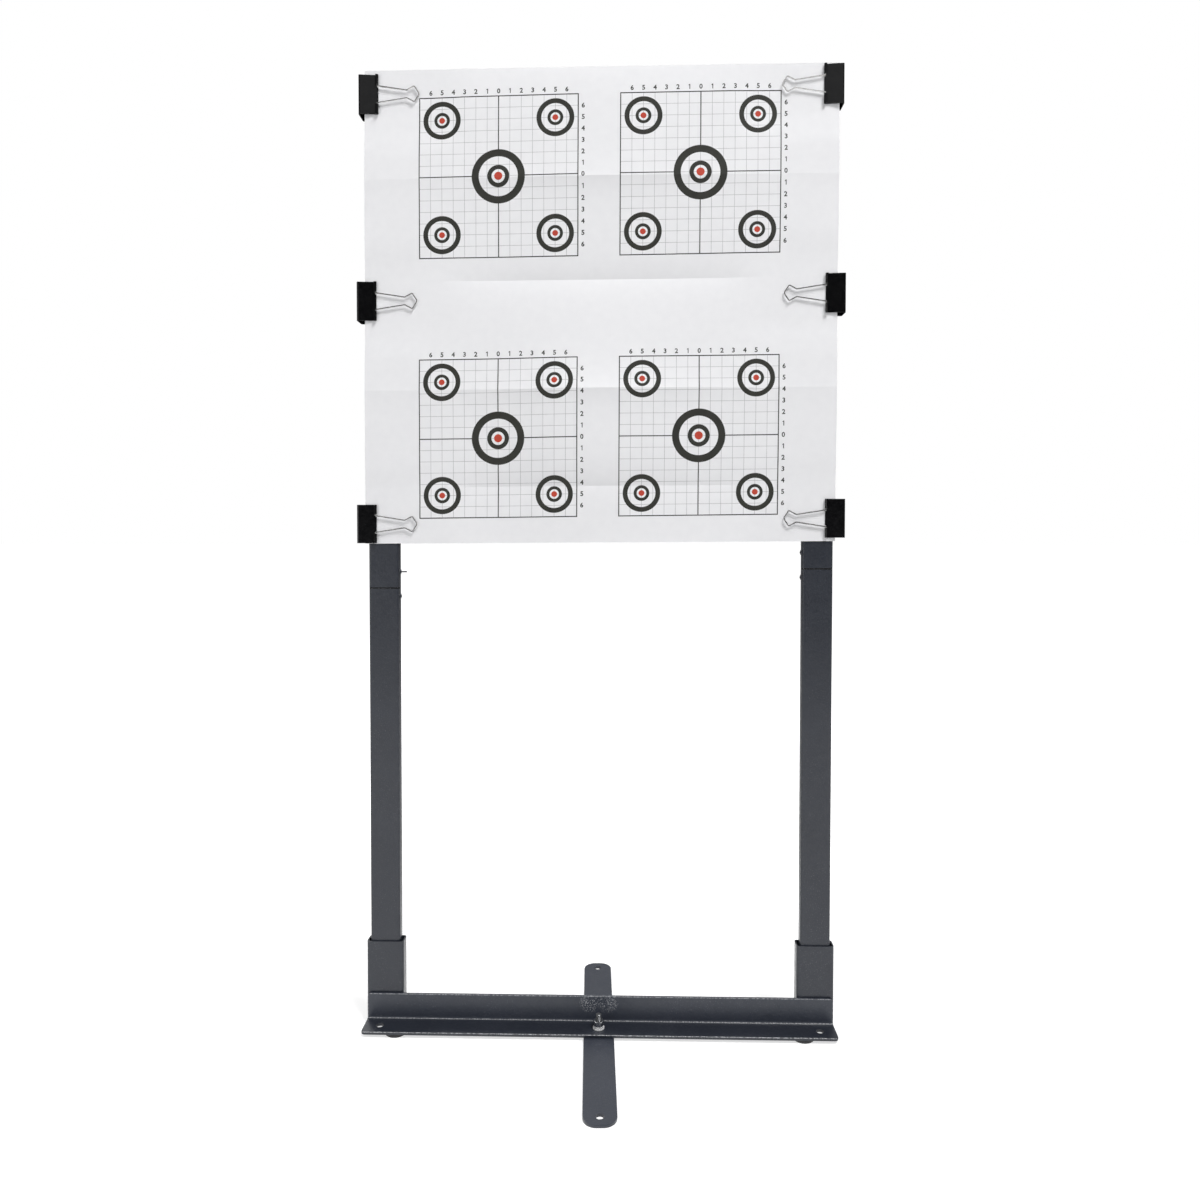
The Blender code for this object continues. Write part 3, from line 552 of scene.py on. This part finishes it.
class SheetForm:
    """The sheet's surface over x and the height above its bottom edge."""

    def __init__(self):
        low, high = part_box("target_sheet")
        self.width = high.x - low.x
        self.height = high.z - low.z
        self.bottom = low.z
        self.middle = (low.y + high.y) / 2
        self.thickness = high.y - low.y - 2 * PACKED_FOLD_DEPTH
        self.held_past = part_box("right_upper_post")[0].x
        self.stops = [0, *(share * self.height for share in FOLD_SHARES), self.height]
        self.swings = [0, *(-depth * (-1) ** i for i, depth in enumerate(FOLD_DEPTHS)), 0]
        shells = [name for name in frame["nodes"] if name.endswith("clip_shell")]
        self.clips = [sum(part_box(name), Vector()) / 2 for name in shells]

    def band(self, height):
        """The number of the band between two folds that this height is in."""
        return max(i for i, stop in enumerate(self.stops[:-1]) if height >= stop or i == 0)

    def pressed(self, x, height):
        """1 where a clip presses the sheet flat, 0 well away from the clips."""
        same_side = [clip for clip in self.clips if clip.x * x > 0 or not x]
        nearest = min(abs(height + self.bottom - clip.z) for clip in same_side)
        return ramp(abs(x), *PRESSED_ACROSS) * (1 - ramp(nearest, *PRESSED_UP))

    def stand_off(self, x, height, band):
        """How far the sheet stands forward of lying flat on the posts."""
        low, high = self.stops[band], self.stops[band + 1]
        start, end = self.swings[band], self.swings[band + 1]
        swing = start + (end - start) * creased((height - low) / (high - low), high - low)
        free = max(1 - (x / self.held_past) ** 2, 0) ** FLATTENING
        lift = swing / max(FOLD_DEPTHS) + 1
        folds = swing * free + MARGIN_DEPTH * lift * (1 - free)
        return (folds + self.upright_fold(x, height) * free) * (1 - self.pressed(x, height))

    def upright_fold(self, x, height):
        """How far the soft upright fold would stand out if nothing held it."""
        bulge = exp(-(((height - UPRIGHT_BULGE_HEIGHT) / UPRIGHT_BULGE_REACH) ** 2))
        start, crest, end = UPRIGHT_FOLD
        ridge = ramp(x, start, crest) * (1 - ramp(x, crest, end))
        return (UPRIGHT_FOLD_DEPTH + UPRIGHT_BULGE_DEPTH * bulge) * ridge

    def point(self, x, height, face):
        """A point on the front, face -1, or on the back, face 1."""
        off = self.stand_off(x, height, self.band(height))
        across = x + SHEET_LEAN * (height - self.height / 2)
        up = self.bottom + height + SHEET_CLIMB * x
        return Vector((across, self.middle - off + face * self.thickness / 2, up))

    def normal(self, x, height, band, face):
        """Square to the sheet, from how it rises on either side within its own band."""
        left = self.stand_off(x - SLOPE_STEP, height, band)
        right = self.stand_off(x + SLOPE_STEP, height, band)
        low = max(height - SLOPE_STEP, self.stops[band])
        high = min(height + SLOPE_STEP, self.stops[band + 1])
        rise = self.stand_off(x, high, band) - self.stand_off(x, low, band)
        slopes = Vector(((right - left) / (2 * SLOPE_STEP), 1, rise / (high - low)))
        return slopes.normalized() * face

    def round_rim(self, spot):
        """How far round the sheet's edge the spot lies, or None inside it."""
        half = self.width / 2
        if spot.y < SAME_PLACE:
            return spot.x + half
        if spot.x > half - SAME_PLACE:
            return self.width + spot.y
        if spot.y > self.height - SAME_PLACE:
            return 2 * self.width + self.height - (spot.x + half)
        if spot.x < SAME_PLACE - half:
            return 2 * (self.width + self.height) - spot.y
        return None


# Sheet's print


def on_paper(spot):
    """Where a spot of the print lies on the paper, which it is printed a little askew on."""
    return Vector((spot.x, spot.y + PRINT_CLIMB * spot.x))


def off_paper(spot):
    """Which spot of the print lies at a spot of the paper."""
    return Vector((spot.x, spot.y - PRINT_CLIMB * spot.x))


def digit_outlines():
    """Each digit's outline as pairs of points round its centre, in Blender's own font."""
    corners = [Vector(corner) * NUMBER_HEIGHT for corner in ONE]
    outlines = {1: list(zip(corners, corners[1:] + corners[:1]))}
    for number in range(LAST_NUMBER + 1):
        if number not in outlines:
            outlines[number] = font_outline(str(number))
    return outlines


def font_outline(character):
    """The edges of the character's face that belong to one polygon only."""
    text = bpy.data.curves.new("digit", "FONT")
    text.body = character
    text.resolution_u = NUMBER_CURVE_STEPS
    text.offset = NUMBER_WEIGHT
    holder = placed("digit", text)
    mesh = holder.to_mesh()
    uses = Counter(key for polygon in mesh.polygons for key in polygon.edge_keys)
    spots = [vertex.co.xy for vertex in mesh.vertices]
    across = [spot.x for spot in spots]
    up = [spot.y for spot in spots]
    centre = Vector(((max(across) + min(across)) / 2, (max(up) + min(up)) / 2))
    size = NUMBER_HEIGHT / (max(up) - min(up))
    pairs = [key for key, count in uses.items() if count == 1]
    outline = [((spots[a] - centre) * size, (spots[b] - centre) * size) for a, b in pairs]
    bpy.data.objects.remove(holder)
    bpy.data.curves.remove(text)
    return outline


def inside(outline, spot):
    """Whether the spot is in the outline, by how often a line from it crosses the edges."""
    crossings = 0
    for a, b in outline:
        if (a.y > spot.y) != (b.y > spot.y):
            if spot.x < a.x + (b.x - a.x) * (spot.y - a.y) / (b.y - a.y):
                crossings += 1
    return crossings % 2 == 1


def number_places():
    """(number, place) of every number beside a grid, from the grid's centre."""
    beside = CELLS_EACH_WAY * CELL + NUMBER_SETBACK
    for cells in range(-LAST_NUMBER, LAST_NUMBER + 1):
        yield abs(cells), Vector((cells * CELL, beside))
        yield abs(cells), Vector((beside, cells * CELL))


def bullseyes():
    """(centre, ring radii) of the targets in a grid, from the grid's centre."""
    yield Vector((0, 0)), LARGE_RINGS
    reach = CORNER_TARGET_CELLS * CELL
    for x in (-reach, reach):
        for y in (-reach, reach):
            yield Vector((x, y)), SMALL_RINGS


def ink_at(spot, digits):
    """What is printed at a spot given from a grid's centre."""
    edge = CELLS_EACH_WAY * CELL
    reach = max(abs(spot.x), abs(spot.y))
    if reach > edge + BORDER_WIDTH / 2:
        for number, place in number_places():
            away = spot - place
            if max(abs(away.x), abs(away.y)) < NUMBER_HEIGHT and inside(digits[number], away):
                return INK
        return PAPER
    if reach > edge - BORDER_WIDTH / 2:
        return INK
    ring = 0
    for centre, radii in bullseyes():
        distance = (spot - centre).length
        inner = sum(distance < radius for radius in radii)
        if inner == len(radii):
            return RED_INK
        if inner % 2 == 1:
            return INK
        ring += inner
    # The thick axes stop at the rings, and the fine lines run on through the white ones
    if ring == 0 and min(abs(spot.x), abs(spot.y)) < AXIS_WIDTH / 2:
        return INK
    for value in spot:
        if abs(value - round(value / CELL) * CELL) < FINE_WIDTH / 2:
            return FINE_INK
    return PAPER


def print_at(spot, digits):
    """What is printed at a spot of the paper."""
    printed = off_paper(spot)
    nearest = min(GRID_CENTRES, key=lambda centre: (centre - printed).length)
    return ink_at(printed - nearest, digits)


class Drawing:
    """Points and edges that a side of the sheet is divided by."""

    def __init__(self):
        self.points = []
        self.edges = []

    def line(self, a, b):
        self.points += [Vector(a), Vector(b)]
        self.edges.append((len(self.points) - 2, len(self.points) - 1))

    def outline(self, points):
        first = len(self.points)
        count = len(points)
        self.points += [Vector(point) for point in points]
        self.edges += [(first + i, first + (i + 1) % count) for i in range(count)]

    def box(self, centre, width, height):
        x, y = width / 2, height / 2
        corners = [(-x, -y), (x, -y), (x, y), (-x, y)]
        self.outline([centre + Vector(corner) for corner in corners])

    def ring(self, centre, radius):
        angles = full_turn(RING_STEPS)
        self.outline([centre + radius * Vector((cos(angle), sin(angle))) for angle in angles])

    def grid(self, centre, digits):
        span = 2 * CELLS_EACH_WAY * CELL
        self.box(centre, span + BORDER_WIDTH, span + BORDER_WIDTH)
        self.box(centre, span - BORDER_WIDTH, span - BORDER_WIDTH)
        for width in (AXIS_WIDTH, FINE_WIDTH):
            self.box(centre, width, span)
            self.box(centre, span, width)
        for cells in range(1, CELLS_EACH_WAY):
            for away in (-cells * CELL, cells * CELL):
                self.box(centre + Vector((away, 0)), FINE_WIDTH, span)
                self.box(centre + Vector((0, away)), span, FINE_WIDTH)
        for place, radii in bullseyes():
            for radius in radii:
                self.ring(centre + place, radius)
        for number, place in number_places():
            for a, b in digits[number]:
                self.line(centre + place + a, centre + place + b)

    def lattice(self, sheet):
        """Columns and rows that let the sheet bend: a row along every fold, and closer near one."""
        half = sheet.width / 2
        columns = [sheet.width * i / LATTICE_COLUMNS - half for i in range(LATTICE_COLUMNS + 1)]
        columns += [-sheet.held_past, sheet.held_past]
        shares = [(1 - cos(pi * i / ROWS_PER_FOLD)) / 2 for i in range(1, ROWS_PER_FOLD + 1)]
        rows = [0]
        for low, high in zip(sheet.stops, sheet.stops[1:]):
            rows += [low + (high - low) * share for share in shares]
        for x in columns:
            self.line((x, 0), (x, sheet.height))
        for height in rows:
            self.line((-half, height), (half, height))

    def divided(self):
        """The drawing's points and triangles."""
        points, _, faces, *_ = delaunay_2d_cdt(self.points, self.edges, [], 0, SAME_PLACE)
        return points, [tuple(face) for face in faces]


# Sheet's mesh


class SheetMesh:
    """A closed sheet as it is gathered: points, faces, and each face's ink and corner normals."""

    def __init__(self, sheet):
        self.sheet = sheet
        self.points = []
        self.faces = []
        self.inks = []
        self.normals = []

    def add_side(self, drawing, face, ink):
        """Adds the front, face -1, or the back, face 1, and gives the points of its rim in order.

        The function ink tells what is printed at a spot.
        """
        spots, triangles = drawing.divided()
        first = len(self.points)
        self.points += [self.sheet.point(spot.x, spot.y, face) for spot in spots]
        known = {}
        for triangle in triangles:
            middle = sum((spots[i] for i in triangle), Vector((0, 0))) / 3
            band = self.sheet.band(middle.y)
            ordered = triangle if face < 0 else triangle[::-1]
            self.faces.append([first + i for i in ordered])
            self.inks.append(ink(middle))
            for i in ordered:
                if (i, band) not in known:
                    known[i, band] = self.sheet.normal(spots[i].x, spots[i].y, band, face)
                self.normals.append(known[i, band])
        found = [(self.sheet.round_rim(spot), first + i) for i, spot in enumerate(spots)]
        return [index for place, index in sorted(pair for pair in found if pair[0] is not None)]

    def close(self, front_rim, back_rim):
        """Joins the two sides by the paper's thin edge."""
        rim = list(zip(front_rim, back_rim))
        for (a, c), (b, d) in zip(rim, rim[1:] + rim[:1]):
            self.faces.append([a, c, d, b])
            self.inks.append(PAPER)
            outward = (self.points[b] - self.points[a]).cross(Vector((0, -1, 0))).normalized()
            self.normals += [outward] * 4

    def finished(self, name):
        mesh = bpy.data.meshes.new(name)
        mesh.from_pydata(self.points, [], self.faces)
        for finish in paper_finishes():
            mesh.materials.append(finish)
        mesh.polygons.foreach_set("material_index", self.inks)
        mesh.shade_smooth()
        mesh.normals_split_custom_set(self.normals)
        return placed(name, mesh)


def printed_sheet():
    """The sheet, whose front is divided along everything that is printed on it."""
    sheet = SheetForm()
    digits = digit_outlines()
    front, back = Drawing(), Drawing()
    for centre in GRID_CENTRES:
        front.grid(centre, digits)
    front.points = [on_paper(spot) for spot in front.points]
    front.lattice(sheet)
    back.lattice(sheet)
    gathered = SheetMesh(sheet)
    front_rim = gathered.add_side(front, -1, lambda spot: print_at(spot, digits))
    back_rim = gathered.add_side(back, 1, lambda spot: PAPER)
    gathered.close(front_rim, back_rim)
    made = gathered.finished("printed_sheet")
    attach(made, "left_post")
    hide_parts("target_sheet")


# Studio


class Backdrop(Nodes):
    """Nodes that tell the camera's own rays and those that metal or glass shows from the rest."""

    def __init__(self, tree):
        super().__init__(tree)
        path = self.node("ShaderNodeLightPath").outputs
        self.directly = path["Is Camera Ray"]
        self.mirrored = self.math("MAXIMUM", path["Is Glossy Ray"], path["Is Transmission Ray"])

    def rise(self, value, start, end, low, high):
        """From low to high, smoothly, while the value goes from start to end."""
        return self.spread(value, low, high, start, end, interpolation_type="SMOOTHSTEP")


def floor():
    """A pale floor that keeps the stand's soft shadow and is white farther off.

    What metal shows of it is bright in front of the stand only.
    """
    finish = Finish("pale_floor")
    nodes = Backdrop(finish.tree)
    distance = nodes.vector_math("LENGTH", finish.place)["Value"]
    glow = nodes.rise(distance, start=0.25, end=0.45, low=0.62, high=0.97)
    shown = nodes.math("MULTIPLY", nodes.directly, glow)
    depth = nodes.part(finish.place, "Y")
    before = nodes.rise(depth, start=-2.3, end=-1.3, low=0.06, high=1.0)
    behind = nodes.rise(depth, start=0.2, end=0.7, low=1, high=0.06)
    reflected = nodes.math("MULTIPLY", nodes.mirrored, nodes.math("MULTIPLY", before, behind))
    corners = [(-FLOOR_REACH, -FLOOR_REACH), (FLOOR_REACH, -FLOOR_REACH)]
    corners += [(-x, -y) for x, y in corners]
    mesh = bpy.data.meshes.new("floor")
    mesh.from_pydata([(x, y, 0) for x, y in corners], [], [range(len(corners))])
    mesh.materials.append(
        finish.dress(
            base_color=FLOOR_COLOUR,
            roughness=0.9,
            specular_ior_level=0.1,
            emission_color=(1, 1, 1),
            emission_strength=nodes.math("MAXIMUM", shown, reflected),
        )
    )
    placed("floor", mesh)


def world():
    """Even pale light, and in metal a room that is dark but for its back wall's upper part."""
    made = bpy.data.worlds.new("studio")
    bpy.context.scene.world = made
    made.use_nodes = True
    nodes = Backdrop(made.node_tree)
    direction = nodes.node("ShaderNodeTexCoord").outputs["Generated"]
    back = nodes.rise(nodes.part(direction, "Y"), start=-0.45, end=0.35, low=0.1, high=0.8)
    upper = nodes.rise(nodes.part(direction, "Z"), start=0.34, end=0.45, low=0.1, high=1)
    shown = nodes.math("MULTIPLY", nodes.mirrored, nodes.math("MULTIPLY", back, upper))
    unseen = nodes.math("SUBTRACT", ROOM_LIGHT, nodes.mirrored)
    background = made.node_tree.nodes["Background"].inputs
    strength = nodes.math("MAXIMUM", nodes.directly, nodes.math("MAXIMUM", shown, unseen))
    nodes.put(background["Color"], (1, 1, 1, 1))
    nodes.put(background["Strength"], strength)


def softbox(name, place, aim, size, power):
    light = bpy.data.lights.new(name, "AREA")
    light.shape = "RECTANGLE"
    light.size, light.size_y = size
    light.energy = power
    made = placed(name, light)
    made.location = place
    made.rotation_euler = (Vector(aim) - Vector(place)).to_track_quat("-Z", "Y").to_euler()
    made.visible_camera = False


def lights():
    """A high key on the right that shows the sheet's folds, softer fills and one from behind."""
    softbox("key_softbox", (1.5, -1.6, 4.0), aim=(0, 0, 0.7), size=(1.2, 1.2), power=152)
    softbox("fill_softbox", (-1.9, -2.2, 0.9), aim=(0, 0, 0.6), size=(1.4, 1.4), power=18)
    softbox("front_softbox", (0.1, -1.4, 1.65), aim=(0, 0, 0.8), size=(1.2, 0.5), power=1.2)
    softbox("low_softbox", (0.1, -0.9, 0.16), aim=(0.1, -0.4, 1.03), size=(2.4, 0.6), power=1.2)
    softbox("back_softbox", (-1.6, 2.1, 2.2), aim=(0, 0, 0.6), size=(1.2, 1.2), power=40)


def camera():
    data = bpy.data.cameras.new("camera")
    data.sensor_width = CAMERA_SENSOR
    data.lens = CAMERA_LENS
    data.shift_y = CAMERA_SHIFT
    made = placed("camera", data)
    turn = Euler((radians(90) + CAMERA_PITCH, 0, CAMERA_YAW)).to_matrix()
    roll = Matrix.Rotation(CAMERA_ROLL, 3, "Z")
    made.matrix_world = Matrix.Translation(CAMERA_PLACE) @ (turn @ roll).to_4x4()
    bpy.context.scene.camera = made


bpy.context.scene.view_settings.view_transform = "Standard"
camera()
dress_nodes()
threaded_screw()
printed_sheet()
floor()
world()
lights()
